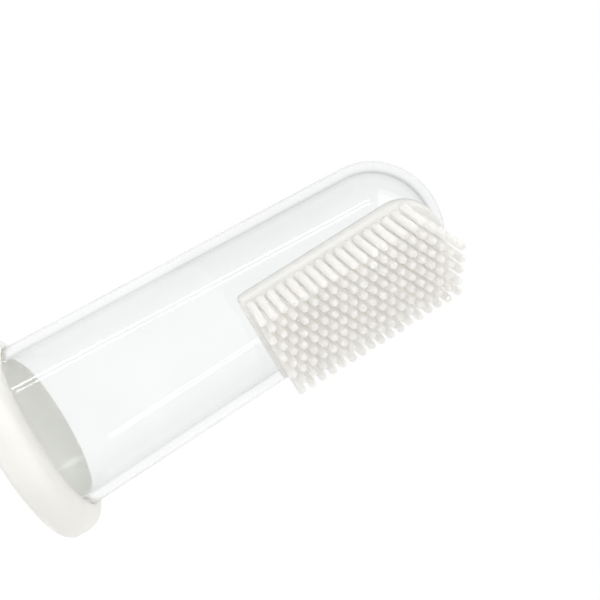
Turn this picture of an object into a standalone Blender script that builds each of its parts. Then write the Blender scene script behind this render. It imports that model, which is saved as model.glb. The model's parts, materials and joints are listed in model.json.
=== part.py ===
"""Finger toothbrush: a soft silicone sleeve that slips over a fingertip.

The sleeve stands on its open end, mouth rim at z = 0, dome at the top.
The brush pad and its bristles face -Y. Lengths are in metres.
The origin is the centre of the footprint, a little in front of the sleeve's own axis,
so every piece is built round the Z axis and the whole brush then moves by AXIS_Y.
"""

import math

import bmesh
import bpy
from mathutils import Matrix, Vector

MM = 0.001

# Sleeve: a tapering tube closed by an elliptical dome.
LENGTH = 55.1 * MM
MOUTH_RADIUS = 10.37 * MM
SHOULDER_RADIUS = 8.34 * MM
DOME_HEIGHT = 7.9 * MM
WALL = 1.3 * MM
SHOULDER_Z = LENGTH - DOME_HEIGHT

# Cuff: the thick rolled bead round the mouth.
CUFF_RADIUS = 12.4 * MM
CUFF_HEIGHT = 4.5 * MM
CUFF_SHOULDER = 1.8 * MM
CUFF_ROUNDING = 1.2 * MM
CUFF_GAP = 0.25 * MM

# The sleeve's axis lies this far behind the footprint's centre.
AXIS_Y = 0.768 * MM

# Brush pad: a plate wrapped on the sleeve, straight at the back, round at the tip.
PAD_BACK_Z = 29.8 * MM
PAD_HALF_WIDTH = 5.75 * MM
PAD_END_START_Z = 49.8 * MM
PAD_END_LENGTH = 4.2 * MM
PAD_RISE = 1.0 * MM
PAD_GAP = 0.15 * MM
TRAY_RISE = 0.4 * MM
TRAY_RIM = 0.3 * MM
TRAY_HEADROOM = 3 * MM
PAD_BAND_MARGIN = 3 * MM
PAD_BAND_TOP = math.radians(85)

# Bristles: nine lines along the sleeve; every other line is shifted half a pitch.
# They lean a little towards the dome, the first rows less than the rest.
LINES = 9
MIDDLE_LINE = 4
LINE_SPACING = 1.18 * MM
PITCH = 1.21 * MM
FIRST_ROW_Z = 30.95 * MM
ROWS = 19
LINE_COUNTS = (17, 17, 18, 18, 19, 18, 18, 17, 17)
ROOT_RISE = 0.9 * MM
ROOT_RADIUS = 0.48 * MM
TIP_RADIUS = 0.45 * MM
TIP_ROUNDING = 0.32 * MM
TIP_FLAT = 0.5
LEAN = math.radians(5)
LEAN_ROWS = 4
WEB_RADIUS = 0.18 * MM
FOOT_HALF_LENGTH = 0.3 * MM

# The bristle tips lie on a gently arched surface that falls towards the dome.
TIP_HEIGHT = 13.43 * MM
TIP_FALL = 0.046
TIP_ARCH = 0.015 / MM
TIP_MIDDLE_Z = 42.0 * MM

TURN_STEPS = 36
DOME_STEPS = 8
CORNER_STEPS = 4
BRISTLE_SIDES = 6
MERGE = 0.00001
CUTTER_REACH = 20 * MM
SHARP_ANGLE = math.radians(50)

CLEAR_SILICONE = ((0.86, 0.90, 0.92, 1.0), 0.12)
MILKY_SILICONE = ((0.88, 0.88, 0.87, 1.0), 0.30)
BRISTLE_SILICONE = ((0.93, 0.92, 0.91, 1.0), 0.35)


def clear_scene():
    for item in list(bpy.data.objects):
        bpy.data.objects.remove(item, do_unlink=True)


def new_collection(name):
    collection = bpy.data.collections.new(name)
    bpy.context.scene.collection.children.link(collection)
    return collection


def silicone(name, look):
    colour, roughness = look
    material = bpy.data.materials.new(name)
    material.use_nodes = True
    shader = material.node_tree.nodes["Principled BSDF"]
    shader.inputs["Base Color"].default_value = colour
    shader.inputs["Roughness"].default_value = roughness
    shader.inputs["Metallic"].default_value = 0.0
    material.diffuse_color = colour
    return material


def outer_radius(z, rise=0.0):
    """Radius of the surface that lies rise outside the sleeve's skin at height z."""
    if z <= SHOULDER_Z:
        return MOUTH_RADIUS + (SHOULDER_RADIUS - MOUTH_RADIUS) * z / SHOULDER_Z + rise
    along = (z - SHOULDER_Z) / (DOME_HEIGHT + rise)
    return (SHOULDER_RADIUS + rise) * math.sqrt(max(0.0, 1.0 - along * along))


def dome_heights(rise, top=math.pi / 2):
    """Heights of the dome's profile points, from its top down to the shoulder."""
    height = DOME_HEIGHT + rise
    angles = [top * (1 - k / DOME_STEPS) for k in range(DOME_STEPS + 1)]
    return [SHOULDER_Z + height * math.sin(angle) for angle in angles]


def skin_profile(rise, bottom, top=math.pi / 2):
    """Profile points (radius, z) of an offset skin, from the dome down to bottom."""
    points = [(outer_radius(z, rise), z) for z in dome_heights(rise, top)]
    points.append((outer_radius(bottom, rise), bottom))
    return points


def mesh_object(name, vertices, edges, collection):
    mesh = bpy.data.meshes.new(name)
    mesh.from_pydata(vertices, edges, [])
    item = bpy.data.objects.new(name, mesh)
    collection.objects.link(item)
    return item


def turned(name, profile, closed, collection):
    """Turn a profile of (radius, z) points round the Z axis."""
    vertices = [(radius, 0.0, z) for radius, z in profile]
    edges = [(k, k + 1) for k in range(len(profile) - 1)]
    if closed:
        edges.append((len(profile) - 1, 0))
    item = mesh_object(name, vertices, edges, collection)
    screw = item.modifiers.new("Turn", "SCREW")
    screw.steps = TURN_STEPS
    screw.render_steps = TURN_STEPS
    screw.use_smooth_shade = True
    screw.use_merge_vertices = True
    screw.merge_threshold = MERGE
    return item


def boolean(item, operation, other):
    cut = item.modifiers.new(operation.title(), "BOOLEAN")
    cut.operation = operation
    cut.object = other
    cut.solver = "EXACT"


def hide_cutter(item):
    item.hide_render = True
    item.display_type = "WIRE"


def mesh_from_curve(name, curve, rotation, place, collection):
    """Turn a filled or beveled curve into a closed mesh object that can cut or join."""
    wire = bpy.data.objects.new(name + "_curve", curve)
    wire.rotation_euler = rotation
    wire.location = place
    collection.objects.link(wire)
    bpy.context.view_layer.update()
    evaluated = wire.evaluated_get(bpy.context.evaluated_depsgraph_get())
    mesh = bpy.data.meshes.new_from_object(evaluated)
    bm = bmesh.new()
    bm.from_mesh(mesh)
    bmesh.ops.remove_doubles(bm, verts=bm.verts, dist=MERGE)
    bmesh.ops.recalc_face_normals(bm, faces=bm.faces)
    bm.to_mesh(mesh)
    bm.free()
    item = bpy.data.objects.new(name, mesh)
    item.matrix_world = wire.matrix_world
    collection.objects.link(item)
    bpy.data.objects.remove(wire, do_unlink=True)
    return item


def build_sleeve(collection):
    """The finger sleeve: outer skin down to the rim, then the bore back up."""
    outside = skin_profile(0.0, 0.0)
    inside = list(reversed(skin_profile(-WALL, 0.0)))
    sleeve = turned("finger_sleeve", outside + inside, False, collection)
    sleeve.data.materials.append(silicone("clear_silicone", CLEAR_SILICONE))
    return sleeve


def build_cuff(collection):
    """The bead: a ring round the sleeve's mouth, with a softer shoulder than foot."""
    profile = []
    upper = (CUFF_HEIGHT - CUFF_SHOULDER, CUFF_SHOULDER, 90)
    lower = (CUFF_ROUNDING, CUFF_ROUNDING, 0)
    for centre_z, size, start in (upper, lower):
        for k in range(CORNER_STEPS + 1):
            angle = math.radians(start - 90 * k / CORNER_STEPS)
            radius = CUFF_RADIUS - size + size * math.cos(angle)
            profile.append((radius, centre_z + size * math.sin(angle)))
    profile.append((outer_radius(0.0, CUFF_GAP), 0.0))
    profile.append((outer_radius(CUFF_HEIGHT, CUFF_GAP), CUFF_HEIGHT))
    cuff = turned("cuff_ring", profile, True, collection)
    cuff.data.materials.append(silicone("cuff_silicone", MILKY_SILICONE))
    return cuff


def pad_outline(inset):
    """The pad seen from the front: (x, z) points, straight back and rounded end."""
    half_width = PAD_HALF_WIDTH - inset
    end_length = PAD_END_LENGTH - inset
    steps = 2 * DOME_STEPS
    points = [(-half_width, PAD_BACK_Z + inset), (half_width, PAD_BACK_Z + inset)]
    for k in range(steps + 1):
        angle = math.pi * k / steps
        z = PAD_END_START_Z + end_length * math.sin(angle)
        points.append((half_width * math.cos(angle), z))
    return points


def outline_prism(name, inset, collection):
    """A block with the pad's outline, reaching from the axis out past the bristles."""
    curve = bpy.data.curves.new(name, "CURVE")
    curve.dimensions = "2D"
    curve.fill_mode = "BOTH"
    curve.extrude = CUTTER_REACH / 2
    outline = pad_outline(inset)
    spline = curve.splines.new("POLY")
    spline.points.add(len(outline) - 1)
    spline.use_cyclic_u = True
    for knot, (x, z) in zip(spline.points, outline):
        knot.co = (x, z, 0.0, 1.0)
    upright = (math.radians(90), 0.0, 0.0)
    middle = (0.0, -CUTTER_REACH / 2, 0.0)
    prism = mesh_from_curve(name, curve, upright, middle, collection)
    hide_cutter(prism)
    return prism


def skin_band(name, low_rise, high_rise, collection):
    """A turned shell between two offsets of the sleeve's skin, open at both ends."""
    bottom = PAD_BACK_Z - PAD_BAND_MARGIN
    outside = skin_profile(high_rise, bottom, PAD_BAND_TOP)
    inside = list(reversed(skin_profile(low_rise, bottom, PAD_BAND_TOP)))
    return turned(name, outside + inside, True, collection)


def build_pad(collection, cutters):
    """The brush pad: a curved plate with a shallow tray for the bristle roots."""
    pad = skin_band("brush_pad", PAD_GAP, PAD_RISE, collection)
    outline = outline_prism("pad_outline", 0.0, cutters)
    boolean(pad, "INTERSECT", outline)
    tray = skin_band("pad_tray", TRAY_RISE, TRAY_HEADROOM, cutters)
    tray_outline = outline_prism("tray_outline", TRAY_RIM, cutters)
    boolean(tray, "INTERSECT", tray_outline)
    hide_cutter(tray)
    boolean(pad, "DIFFERENCE", tray)
    pad.data.materials.append(silicone("pad_silicone", MILKY_SILICONE))
    for cutter in (outline, tray, tray_outline):
        cutter.parent = pad
    return pad


def row_places(row):
    """(x, z) of the bristles in one zig-zag row, from one side to the other."""
    places = []
    for line in range(LINES):
        if row < LINE_COUNTS[line]:
            half_step = 0.5 if line % 2 else 0.0
            x = (line - MIDDLE_LINE) * LINE_SPACING
            places.append((x, FIRST_ROW_Z + (row + half_step) * PITCH))
    return places


def root_point(x, z):
    return (x, -math.sqrt(outer_radius(z, ROOT_RISE) ** 2 - x * x), z)


def tip_reach(x, z):
    """Distance of a bristle's tip in front of the sleeve's axis."""
    return TIP_HEIGHT - TIP_FALL * (z - TIP_MIDDLE_Z) - TIP_ARCH * x * x


def row_lean(row):
    return LEAN * min(1.0, (row + 1) / LEAN_ROWS)


def hinge_point(roots):
    """A row bends about a line along X, midway between its roots."""
    y_values = [root[1] for root in roots]
    z_values = [root[2] for root in roots]
    y = (min(y_values) + max(y_values)) / 2
    return (0.0, y, (min(z_values) + max(z_values)) / 2)


def add_bristle(bm, root, length, lean):
    """A tapering rod with a rounded end, along -Y but leaning towards +Z."""
    shaft = length - TIP_ROUNDING
    made = bmesh.ops.create_cone(
        bm,
        cap_ends=True,
        segments=BRISTLE_SIDES,
        radius1=ROOT_RADIUS,
        radius2=TIP_RADIUS,
        depth=shaft,
        matrix=Matrix.Translation((0.0, 0.0, shaft / 2)),
    )
    faces = {face for vert in made["verts"] for face in vert.link_faces}
    cap = max(faces, key=lambda face: face.calc_center_median().z)
    grown = bmesh.ops.extrude_face_region(bm, geom=[cap])
    ring = [v for v in grown["geom"] if isinstance(v, bmesh.types.BMVert)]
    bmesh.ops.delete(bm, geom=[cap], context="FACES_ONLY")
    for vert in ring:
        vert.co.x *= TIP_FLAT
        vert.co.y *= TIP_FLAT
        vert.co.z += TIP_ROUNDING
    turn = Matrix.Rotation(math.radians(90) - lean, 4, "X")
    place = Matrix.Translation(root) @ turn
    bmesh.ops.transform(bm, matrix=place, verts=made["verts"] + ring)


def build_web(name, points, cutters):
    """The thin strip that joins the roots of one row, as a mesh."""
    curve = bpy.data.curves.new(name, "CURVE")
    curve.dimensions = "3D"
    curve.bevel_depth = WEB_RADIUS
    curve.bevel_resolution = 1
    curve.use_fill_caps = True
    spline = curve.splines.new("POLY")
    spline.points.add(len(points) - 1)
    for knot, point in zip(spline.points, points):
        knot.co = (*point, 1.0)
    web = mesh_from_curve(name, curve, (0.0, 0.0, 0.0), (0.0, 0.0, 0.0), cutters)
    hide_cutter(web)
    return web


def build_row(row, parent, look, collection, cutters):
    """One row: its bristles and root web, with the origin on the bending line."""
    places = row_places(row)
    roots = [root_point(x, z) for x, z in places]
    hinge = hinge_point(roots)
    local = [tuple(a - b for a, b in zip(root, hinge)) for root in roots]
    lean = row_lean(row)
    bm = bmesh.new()
    for (x, z), root in zip(places, local):
        height = tip_reach(x, z) + hinge[1] + root[1]
        add_bristle(bm, root, height / math.cos(lean), lean)
    name = f"bristle_row_{row + 1:02d}"
    mesh = bpy.data.meshes.new(name)
    bm.to_mesh(mesh)
    bm.free()
    mesh.shade_smooth()
    mesh.set_sharp_from_angle(angle=SHARP_ANGLE)
    item = bpy.data.objects.new(name, mesh)
    item.location = hinge
    item.parent = parent
    collection.objects.link(item)
    strip = local if len(local) > 1 else foot_strip(local[0])
    web = build_web(f"root_web_{row + 1:02d}", strip, cutters)
    web.parent = item
    boolean(item, "UNION", web)
    item.data.materials.append(look)
    return item


def foot_strip(root):
    x, y, z = root
    return [(x - FOOT_HALF_LENGTH, y, z), (x + FOOT_HALF_LENGTH, y, z)]


def main():
    clear_scene()
    parts = new_collection("finger_toothbrush")
    cutters = new_collection("cutters")
    sleeve = build_sleeve(parts)
    cuff = build_cuff(parts)
    pad = build_pad(parts, cutters)
    cuff.parent = sleeve
    pad.parent = sleeve
    look = silicone("bristle_silicone", BRISTLE_SILICONE)
    for row in range(ROWS):
        build_row(row, pad, look, parts, cutters)
    sleeve.location.y = AXIS_Y
    bpy.context.view_layer.update()


main()
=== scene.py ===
"""Looks for the finger toothbrush: clear silicone sleeve, milky cuff and pad, soft bristles.

Everything is in the CAD frame, in metres: the sleeve stands on its mouth along +Z and
the bristles face -Y.
"""

import json
import math
import random

import bmesh
import bpy
from mathutils import Matrix, Vector


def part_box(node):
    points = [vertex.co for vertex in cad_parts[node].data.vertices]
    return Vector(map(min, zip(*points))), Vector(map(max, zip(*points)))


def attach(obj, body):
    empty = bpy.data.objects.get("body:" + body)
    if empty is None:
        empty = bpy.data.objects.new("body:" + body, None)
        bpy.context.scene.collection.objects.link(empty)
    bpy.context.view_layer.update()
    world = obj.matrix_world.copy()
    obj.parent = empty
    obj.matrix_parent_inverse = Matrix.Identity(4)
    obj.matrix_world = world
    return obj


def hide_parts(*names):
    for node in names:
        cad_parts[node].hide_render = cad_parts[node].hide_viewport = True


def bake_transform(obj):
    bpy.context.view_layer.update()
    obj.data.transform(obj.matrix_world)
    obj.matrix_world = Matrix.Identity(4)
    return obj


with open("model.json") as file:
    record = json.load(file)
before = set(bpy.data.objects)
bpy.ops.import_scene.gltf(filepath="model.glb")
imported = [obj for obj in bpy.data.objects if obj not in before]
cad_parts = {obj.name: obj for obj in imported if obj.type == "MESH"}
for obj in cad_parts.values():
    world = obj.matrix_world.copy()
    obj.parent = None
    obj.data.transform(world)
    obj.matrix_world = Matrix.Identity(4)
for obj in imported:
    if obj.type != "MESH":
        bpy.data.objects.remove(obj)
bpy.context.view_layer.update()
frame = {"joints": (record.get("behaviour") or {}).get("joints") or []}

MM = 0.001

# The sleeve's own axis is parallel to Z; the cuff's box is centred on it.
SLEEVE_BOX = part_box("finger_sleeve")
CUFF_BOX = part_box("cuff_ring")
PAD_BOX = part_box("brush_pad")
AXIS_Y = (CUFF_BOX[0][1] + CUFF_BOX[1][1]) / 2
AXIS = Matrix.Translation((0.0, AXIS_Y, 0.0))

LENGTH = SLEEVE_BOX[1][2]
MOUTH_RADIUS = SLEEVE_BOX[1][0]
SHOULDER_RADIUS = 8.34 * MM
DOME_HEIGHT = 7.9 * MM
SHOULDER_Z = LENGTH - DOME_HEIGHT
WALL = 1.3 * MM
RIM_ROUNDING = 0.25 * MM

CUFF_RADIUS = CUFF_BOX[1][0]
CUFF_HEIGHT = CUFF_BOX[1][2]
CUFF_SHOULDER = (2.1 * MM, 2.3 * MM)
CUFF_FOOT = 1.2 * MM

PAD_BACK_Z = PAD_BOX[0][2] + 0.1 * MM
PAD_HALF_WIDTH = PAD_BOX[1][0] - 0.05 * MM
PAD_END_START_Z = 48.2 * MM
PAD_END_LENGTH = 5.3 * MM
PAD_RISE = 1.0 * MM
PAD_WALL_LOW = 0.35 * MM
PAD_CORNER = 0.6 * MM
PAD_SMALLEST_CORNER = 0.02 * MM
PAD_EDGE = 0.3 * MM
PAD_CREST = 0.05 * MM
PAD_RINGS = 9

# The cuff and the pad clear the sleeve's skin by this much.
LIFT = 0.02 * MM

# Each row's joint lies a quarter pitch above its even bristles' roots. The last row is a
# single bristle, so the pitch comes from the gaps between the first rows.
ROW_HEIGHTS = sorted(joint["pos_m"][2] for joint in frame["joints"])
ROWS = len(ROW_HEIGHTS)
EVEN_GAPS = 10
PITCH = (ROW_HEIGHTS[EVEN_GAPS] - ROW_HEIGHTS[0]) / EVEN_GAPS
FIRST_ROW_Z = ROW_HEIGHTS[0] - PITCH / 4
LINE_COUNTS = (17, 17, 18, 18, 19, 18, 18, 17, 17)
MIDDLE_LINE = 4
LINE_SPACING = 1.18 * MM

# The tips lie on one face: so far from the axis in the middle, falling towards the dome and
# arched from side to side.
TIP_HEIGHT = 13.43 * MM
TIP_FALL = 0.046
TIP_ARCH = 0.015 / MM
TIP_MIDDLE_Z = 42.0 * MM

# The bristles lean towards the dome; the lean builds up over the first rows.
LEAN = math.radians(5)
LEAN_ROWS = 4
BRISTLE_RADIUS = 0.47 * MM
BRISTLE_TIP_RADIUS = 0.445 * MM
ROOT_FLARE = 0.07 * MM
ROOT_FLARE_HEIGHT = 0.35 * MM
ROOT_FLARE_START = -0.05 * MM
ROOT_FLARE_STEPS = 4
ROOT_DEPTH = 0.35 * MM
LENGTH_SPREAD = 0.05 * MM
LEAN_SPREAD = 0.015
SIDE_SPREAD = 0.012

AROUND = 192
DOME_STEPS = 28
WALL_STEPS = 20
RIM_STEPS = 4
BRISTLE_SIDES = 16
SHAFT_STEPS = 14
TIP_STEPS = 6

# The camera: where it looks, from which side, how far off and how far it is rolled.
CAMERA_TARGET = Vector((2.45 * MM, AXIS_Y - 0.14 * MM, 36.04 * MM))
CAMERA_AZIMUTH = math.radians(-28.91)
CAMERA_ELEVATION = math.radians(-1.845)
CAMERA_ROLL = math.radians(59.32)
CAMERA_DISTANCE = 138.0 * MM
CAMERA_LENS = 72.0

FLOOR_RADIUS = 1.5
FLOOR_DROP = 0.02 * MM
FLOOR_GREY = (0.2, 0.2, 0.2, 1.0)
FLOOR_GLOW = 0.84

SILICONE_IOR = 1.41
SLOW_SCALE = 160.0
FINE_SCALE = 2600.0
WAVE_HEIGHT = 0.4 * MM
GRAIN_HEIGHT = 0.03 * MM
MILK_DEPTH = 2.0 * MM

WHITE = (1.0, 1.0, 1.0, 1.0)


# ---------------------------------------------------------------- shapes


def skin_radius(z, rise=0.0):
    """Radius of the surface that lies rise outside the sleeve's skin at height z."""
    if z <= SHOULDER_Z:
        return MOUTH_RADIUS + (SHOULDER_RADIUS - MOUTH_RADIUS) * z / SHOULDER_Z + rise
    along = (z - SHOULDER_Z) / (DOME_HEIGHT + rise)
    return (SHOULDER_RADIUS + rise) * math.sqrt(max(0.0, 1.0 - along * along))


def arc(centre, size, start, end, steps):
    """Points (radius, z) on an elliptical arc between two angles in degrees."""
    points = []
    for k in range(steps + 1):
        angle = math.radians(start + (end - start) * k / steps)
        point = (centre[0] + size[0] * math.cos(angle), centre[1] + size[1] * math.sin(angle))
        points.append(point)
    return points


def straight(start, end, steps):
    """Points after start, up to and including end."""
    points = []
    for k in range(1, steps + 1):
        share = k / steps
        points.append(tuple(a + (b - a) * share for a, b in zip(start, end)))
    return points


def join_rings(bm, first, second):
    """A band of faces between two rings, either of which may be a single point."""
    count = max(len(first), len(second))
    for k in range(count):
        after = (k + 1) % count
        corners = [first[k % len(first)], first[after % len(first)]]
        corners += [second[after % len(second)], second[k % len(second)]]
        bm.faces.new(list(dict.fromkeys(corners)))


def add_lathe(bm, profile, sides, place, closed=False):
    """Turn (radius, height) points round the Z axis of place. Radius 0 is a pole."""
    rings = []
    for radius, height in profile:
        count = sides if radius > 0.0 else 1
        ring = []
        for k in range(count):
            angle = 2 * math.pi * k / sides
            point = Vector((radius * math.cos(angle), radius * math.sin(angle), height))
            ring.append(bm.verts.new(place @ point))
        rings.append(ring)
    for first, second in zip(rings, rings[1:]):
        join_rings(bm, first, second)
    if closed:
        join_rings(bm, rings[-1], rings[0])


def finish_piece(bm, name, look):
    """Make a smooth-shaded object from bm, with its normals facing out."""
    bmesh.ops.recalc_face_normals(bm, faces=bm.faces)
    mesh = bpy.data.meshes.new(name)
    bm.to_mesh(mesh)
    bm.free()
    mesh.shade_smooth()
    mesh.materials.append(look)
    piece = bpy.data.objects.new(name, mesh)
    bpy.context.scene.collection.objects.link(piece)
    return piece


def sleeve_profile():
    """Down the outside from the dome's top, round the rim and up the bore."""
    dome = (0.0, SHOULDER_Z)
    outer = arc(dome, (SHOULDER_RADIUS, DOME_HEIGHT), 90, 0, DOME_STEPS)
    low = (skin_radius(RIM_ROUNDING), RIM_ROUNDING)
    outer += straight(outer[-1], low, WALL_STEPS)
    corner = (RIM_ROUNDING, RIM_ROUNDING)
    edge = arc((low[0] - RIM_ROUNDING, RIM_ROUNDING), corner, 0, -90, RIM_STEPS)
    bore_low = MOUTH_RADIUS - WALL
    edge += arc((bore_low + RIM_ROUNDING, RIM_ROUNDING), corner, 270, 180, RIM_STEPS)
    bore_top = (SHOULDER_RADIUS - WALL, SHOULDER_Z)
    bore = straight(edge[-1], bore_top, WALL_STEPS)
    bore += arc(dome, (bore_top[0], DOME_HEIGHT - WALL), 0, 90, DOME_STEPS)[1:]
    outer[0] = (0.0, LENGTH)
    bore[-1] = (0.0, LENGTH - WALL)
    return outer + edge[1:] + bore


def build_sleeve(look):
    bm = bmesh.new()
    add_lathe(bm, sleeve_profile(), AROUND, AXIS)
    sleeve = finish_piece(bm, "sleeve_skin", look)
    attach(sleeve, "sleeve")
    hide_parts("finger_sleeve")


def cuff_profile():
    """The bead's section: broad soft shoulder, then a tighter lower edge and flat foot."""
    middle = (CUFF_RADIUS - CUFF_SHOULDER[0], CUFF_HEIGHT - CUFF_SHOULDER[1])
    profile = [(skin_radius(CUFF_HEIGHT, LIFT), CUFF_HEIGHT)]
    profile += arc(middle, CUFF_SHOULDER, 88, 0, 14)
    profile += arc((CUFF_RADIUS - CUFF_FOOT, CUFF_FOOT), (CUFF_FOOT, CUFF_FOOT), 0, -90, 8)
    profile += [(skin_radius(0.0, LIFT), 0.0)]
    return profile


def build_cuff(look):
    bm = bmesh.new()
    add_lathe(bm, cuff_profile(), AROUND, AXIS, closed=True)
    cuff = finish_piece(bm, "cuff_bead", look)
    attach(cuff, "sleeve")
    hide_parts("cuff_ring")


def pad_outline(inset):
    """The pad from the front, as (x, z) points the same in number for any inset."""
    half = PAD_HALF_WIDTH - inset
    reach = max(PAD_END_LENGTH - inset, 0.0)
    back = PAD_BACK_Z + inset
    corner = min(max(PAD_CORNER - 0.5 * inset, PAD_SMALLEST_CORNER), half)
    points = arc((0.0, PAD_END_START_Z), (half, reach), 0, 180, 32)
    points += straight(points[-1], (-half, back + corner), 24)
    points += arc((corner - half, back + corner), (corner, corner), 180, 270, 5)[1:]
    points += straight(points[-1], (half - corner, back), 14)
    points += arc((half - corner, back + corner), (corner, corner), 270, 360, 5)[1:]
    points += straight(points[-1], (half, PAD_END_START_Z), 24)[:-1]
    return points


def on_front(x, z, rise):
    """The point with this x and z on the front of an offset of the sleeve's skin."""
    radius = skin_radius(z, rise)
    depth = math.sqrt(max(radius * radius - x * x, 0.0))
    return Vector((x, AXIS_Y - depth, z))


def build_pad(look):
    """A plate wrapped on the sleeve: rings up its wall, over the edge and inwards."""
    steps = [(0.0, LIFT), (0.0, PAD_WALL_LOW)]
    for inset, rise in arc((PAD_EDGE, PAD_RISE - PAD_EDGE), (PAD_EDGE, PAD_EDGE), 180, 90, 6):
        steps.append((inset, rise))
    span = PAD_HALF_WIDTH - PAD_EDGE - PAD_CREST
    for k in range(1, PAD_RINGS + 1):
        steps.append((PAD_EDGE + span * k / PAD_RINGS, PAD_RISE))
    under = [(inset, LIFT) for inset, _ in steps[-1:1:-1]]
    bm = bmesh.new()
    rings = []
    for inset, rise in steps + under:
        rings.append([bm.verts.new(on_front(x, z, rise)) for x, z in pad_outline(inset)])
    for first, second in zip(rings, rings[1:] + rings[:1]):
        join_rings(bm, first, second)
    pad = finish_piece(bm, "brush_plate", look)
    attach(pad, "sleeve")
    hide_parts("brush_pad")


def row_places(row):
    """(x, z) of the bristles in one zig-zag row."""
    places = []
    for line, count in enumerate(LINE_COUNTS):
        if row < count:
            half_step = 0.5 if line % 2 else 0.0
            x = (line - MIDDLE_LINE) * LINE_SPACING
            places.append((x, FIRST_ROW_Z + (row + half_step) * PITCH))
    return places


def bristle_profile(length):
    """Flared root, nearly straight shaft and a domed end."""
    profile = [(0.0, -ROOT_DEPTH), (BRISTLE_RADIUS + ROOT_FLARE, -ROOT_DEPTH)]
    for k in range(ROOT_FLARE_STEPS + 1):
        share = k / ROOT_FLARE_STEPS
        flare = ROOT_FLARE * (1 - share) ** 2
        profile.append((BRISTLE_RADIUS + flare, ROOT_FLARE_HEIGHT * share + ROOT_FLARE_START))
    dome = BRISTLE_TIP_RADIUS
    profile += straight(profile[-1], (dome, length - dome), SHAFT_STEPS)
    profile += arc((0.0, length - dome), (dome, dome), 0, 90, TIP_STEPS)[1:]
    profile[-1] = (0.0, length)
    return profile


def build_row(row, look):
    """One row of bristles as a single mesh, rooted on the pad's face; it is not attached to a body.
    """
    rng = random.Random(100 + row)
    bm = bmesh.new()
    lean = LEAN * min(1.0, (row + 1) / LEAN_ROWS)
    for x, z in row_places(row):
        root = on_front(x, z, PAD_RISE)
        reach = TIP_HEIGHT - TIP_FALL * (z - TIP_MIDDLE_Z) - TIP_ARCH * x * x
        length = (reach + root.y - AXIS_Y) / math.cos(lean)
        length += rng.uniform(-LENGTH_SPREAD, LENGTH_SPREAD)
        tilt = math.radians(90) - lean + rng.uniform(-LEAN_SPREAD, LEAN_SPREAD)
        swing = rng.uniform(-SIDE_SPREAD, SIDE_SPREAD)
        turn = Matrix.Rotation(swing, 4, "Z") @ Matrix.Rotation(tilt, 4, "X")
        add_lathe(bm, bristle_profile(length), BRISTLE_SIDES, Matrix.Translation(root) @ turn)
    number = f"{row + 1:02d}"
    piece = finish_piece(bm, "bristles_" + number, look)
    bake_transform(piece)
    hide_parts("bristle_row_" + number)


# ---------------------------------------------------------------- materials


class Tree:
    """Small helper that adds and links shader nodes."""

    def __init__(self, owner):
        owner.use_nodes = True
        self.nodes = owner.node_tree.nodes
        self.links = owner.node_tree.links

    def add(self, kind, settings=None, **inputs):
        node = self.nodes.new(kind)
        for name, value in (settings or {}).items():
            setattr(node, name, value)
        for name, value in inputs.items():
            self.put(node.inputs[name.replace("_", " ")], value)
        return node

    def put(self, socket, value):
        if isinstance(value, bpy.types.NodeSocket):
            self.links.new(value, socket)
        else:
            socket.default_value = value

    def noise(self, scale, detail=2.0):
        where = self.add("ShaderNodeTexCoord").outputs["Object"]
        return self.add("ShaderNodeTexNoise", Vector=where, Scale=scale, Detail=detail).outputs[0]

    def spread(self, value, low, high):
        return self.add("ShaderNodeMapRange", Value=value, To_Min=low, To_Max=high).outputs[0]

    def mix(self, share, first, second):
        node = self.add("ShaderNodeMix", {"data_type": "RGBA"})
        self.put(node.inputs[0], share)
        self.put(node.inputs[6], first)
        self.put(node.inputs[7], second)
        return node.outputs[2]

    def ramp(self, value, stops):
        """A colour ramp through (position, colour) stops."""
        node = self.add("ShaderNodeValToRGB", Fac=value)
        elements = node.color_ramp.elements
        while len(elements) < len(stops):
            elements.new(1.0)
        for element, (position, colour) in zip(elements, stops):
            element.position = position
            element.color = (*colour, 1.0)
        return node.outputs["Color"]


def silicone(name, light, dark, rough, grain, wave, transmission, milk, glow=0.0):
    """Silicone with uneven gloss, a fine moulded grain and a slow surface wave, plus a painted
    glow: it emits in its own light colour at strength glow.
    """
    material = bpy.data.materials.new(name)
    tree = Tree(material)
    shader = tree.nodes["Principled BSDF"]
    slow = tree.noise(SLOW_SCALE)
    fine = tree.noise(FINE_SCALE, 3.0)
    tree.put(shader.inputs["Base Color"], tree.ramp(slow, ((0.3, light), (0.7, dark))))
    tree.put(shader.inputs["Roughness"], tree.spread(slow, rough[0], rough[1]))
    shader.inputs["Transmission Weight"].default_value = transmission
    shader.inputs["IOR"].default_value = SILICONE_IOR
    shader.inputs["Subsurface Weight"].default_value = 1.0 if milk else 0.0
    shader.inputs["Subsurface Radius"].default_value = (1.0, 0.97, 0.93)
    shader.inputs["Subsurface Scale"].default_value = milk
    # Painted glow: the surface emits in its own light colour, standing in for light scattered
    # through the milky silicone into its shaded sides and gaps.
    shader.inputs["Emission Color"].default_value = (*light, 1.0)
    shader.inputs["Emission Strength"].default_value = glow
    waves = tree.add("ShaderNodeBump", Height=slow, Strength=wave, Distance=WAVE_HEIGHT)
    bumps = tree.add("ShaderNodeBump", Height=fine, Strength=grain, Distance=GRAIN_HEIGHT)
    tree.put(bumps.inputs["Normal"], waves.outputs[0])
    tree.put(shader.inputs["Normal"], bumps.outputs[0])
    return material


# ---------------------------------------------------------------- studio


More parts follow.
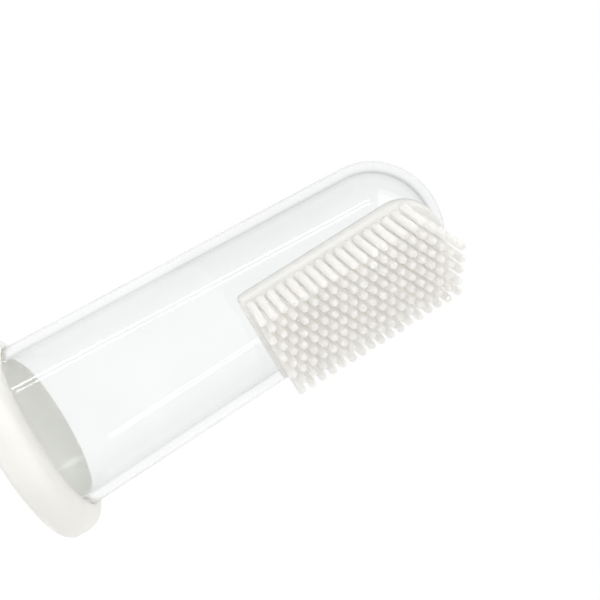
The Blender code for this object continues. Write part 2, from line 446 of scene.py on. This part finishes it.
def build_camera():
    back = Vector((0.0, -1.0, 0.0))
    back.rotate(Matrix.Rotation(-CAMERA_ELEVATION, 4, "X"))
    back.rotate(Matrix.Rotation(CAMERA_AZIMUTH, 4, "Z"))
    data = bpy.data.cameras.new("camera")
    data.lens = CAMERA_LENS
    data.clip_start = 1 * MM
    camera = bpy.data.objects.new("camera", data)
    facing = back.to_track_quat("Z", "Y").to_matrix().to_4x4()
    roll = Matrix.Rotation(CAMERA_ROLL, 4, "Z")
    camera.matrix_world = Matrix.Translation(CAMERA_TARGET + back * CAMERA_DISTANCE) @ facing @ roll
    bpy.context.scene.collection.objects.link(camera)
    bpy.context.scene.camera = camera
    return camera


def soft_light(name, camera, place, along, size, power):
    """An area light at a place in the camera's own axes, turned towards the brush.

    along is the way its long side runs, in the same axes.
    """
    data = bpy.data.lights.new(name, "AREA")
    data.shape = "RECTANGLE"
    data.size, data.size_y = size
    data.energy = power
    light = bpy.data.objects.new(name, data)
    bpy.context.scene.collection.objects.link(light)
    light.parent = camera
    side = along.normalized()
    facing = Vector((0.0, 0.0, -CAMERA_DISTANCE)) - place
    facing = (facing - facing.dot(side) * side).normalized()
    turn = Matrix((side, (-facing).cross(side), -facing)).transposed()
    light.matrix_local = Matrix.Translation(place) @ turn.to_4x4()
    return light


def surroundings(tree, ahead):
    """Studio colour by direction: white ahead of the camera and dimmer at the sides.

    ahead is the cosine between a ray and the way the camera looks. Light scattered by the
    milky parts finds white all round.
    """
    share = tree.add("ShaderNodeMapRange", Value=ahead, From_Min=-1.0).outputs[0]
    levels = ((0.0, 0.75), (0.3, 0.65), (0.5, 0.4), (0.75, 0.4), (0.88, 1.0), (1.0, 1.0))
    stops = [(position, (level, level, level)) for position, level in levels]
    rays = tree.add("ShaderNodeLightPath").outputs
    return tree.mix(rays["Diffuse Depth"], tree.ramp(share, stops), WHITE)


def build_world():
    world = bpy.data.worlds.new("studio")
    bpy.context.scene.world = world
    tree = Tree(world)
    where = tree.add("ShaderNodeTexCoord").outputs["Camera"]
    ahead = tree.add("ShaderNodeSeparateXYZ", Vector=where).outputs["Z"]
    rays = tree.add("ShaderNodeLightPath").outputs
    seen = tree.mix(rays["Is Camera Ray"], surroundings(tree, ahead), WHITE)
    tree.put(tree.nodes["Background"].inputs["Color"], seen)


def build_floor():
    """A white floor that carries on the studio's glow and takes a faint soft shadow."""
    bpy.ops.mesh.primitive_circle_add(vertices=64, radius=FLOOR_RADIUS, fill_type="NGON")
    floor = bpy.context.active_object
    floor.name = "floor"
    floor.location.z = -FLOOR_DROP
    material = bpy.data.materials.new("white_floor")
    tree = Tree(material)
    tree.nodes.remove(tree.nodes["Principled BSDF"])
    coming = tree.add("ShaderNodeNewGeometry").outputs["Incoming"]
    to_camera = {"vector_type": "VECTOR", "convert_from": "WORLD", "convert_to": "CAMERA"}
    where = tree.add("ShaderNodeVectorTransform", to_camera, Vector=coming).outputs[0]
    behind = tree.add("ShaderNodeSeparateXYZ", Vector=where).outputs["Z"]
    ahead = tree.add("ShaderNodeMath", {"operation": "MULTIPLY"})
    tree.put(ahead.inputs[0], behind)
    tree.put(ahead.inputs[1], -1.0)
    rays = tree.add("ShaderNodeLightPath").outputs
    seen = tree.mix(rays["Is Camera Ray"], surroundings(tree, ahead.outputs[0]), WHITE)
    matt = tree.add("ShaderNodeBsdfDiffuse", Color=FLOOR_GREY)
    glow = tree.add("ShaderNodeEmission", Color=seen, Strength=FLOOR_GLOW)
    both = tree.add("ShaderNodeAddShader")
    tree.put(both.inputs[0], matt.outputs[0])
    tree.put(both.inputs[1], glow.outputs[0])
    tree.put(tree.nodes["Material Output"].inputs["Surface"], both.outputs[0])
    floor.data.materials.append(material)
    return floor


def build_studio():
    camera = build_camera()
    floor = build_floor()
    strip_place = Vector((-111.0, 109.0, -55.0)) * MM
    strip_along = Vector((0.93, 0.25, 0.27))
    strip = soft_light("strip", camera, strip_place, strip_along, (0.21, 0.006), 0.075)
    key_place = Vector((160.0, 220.0, 60.0)) * MM
    key = soft_light("key", camera, key_place, Vector((1.0, 0.0, 0.0)), (0.25, 0.25), 0.3)
    unlit = bpy.data.collections.new("unlit")
    unlit.objects.link(floor)
    unlit.collection_objects[0].light_linking.link_state = "EXCLUDE"
    for light in (strip, key):
        light.light_linking.receiver_collection = unlit
    strip.light_linking.blocker_collection = unlit
    build_world()
    scene = bpy.context.scene
    scene.view_settings.view_transform = "Standard"
    scene.cycles.max_bounces = 32
    scene.cycles.diffuse_bounces = 16
    scene.cycles.transmission_bounces = 24


def main():
    clear = silicone(
        "clear_silicone_look",
        light=(0.975, 0.985, 0.98),
        dark=(0.955, 0.97, 0.965),
        rough=(0.02, 0.05),
        grain=0.004,
        wave=0.03,
        transmission=1.0,
        milk=0.0,
    )
    milky = dict(
        light=(0.745, 0.737, 0.715),
        dark=(0.715, 0.707, 0.685),
        grain=0.15,
        wave=0.05,
        milk=MILK_DEPTH,
    )
    # glow is painted light: the cuff, pad and bristles emit a little so their shaded sides and the
    # gaps between bristles stay bright.
    cuff = silicone("cuff_look", rough=(0.38, 0.5), transmission=0.48, glow=0.23, **milky)
    pad = silicone("pad_look", rough=(0.3, 0.42), transmission=0.48, glow=0.15, **milky)
    bristle = silicone("bristle_look", rough=(0.3, 0.42), transmission=0.45, glow=0.19, **milky)
    build_sleeve(clear)
    build_cuff(cuff)
    build_pad(pad)
    for row in range(ROWS):
        build_row(row, bristle)
    build_studio()


main()
bpy.context.view_layer.update()
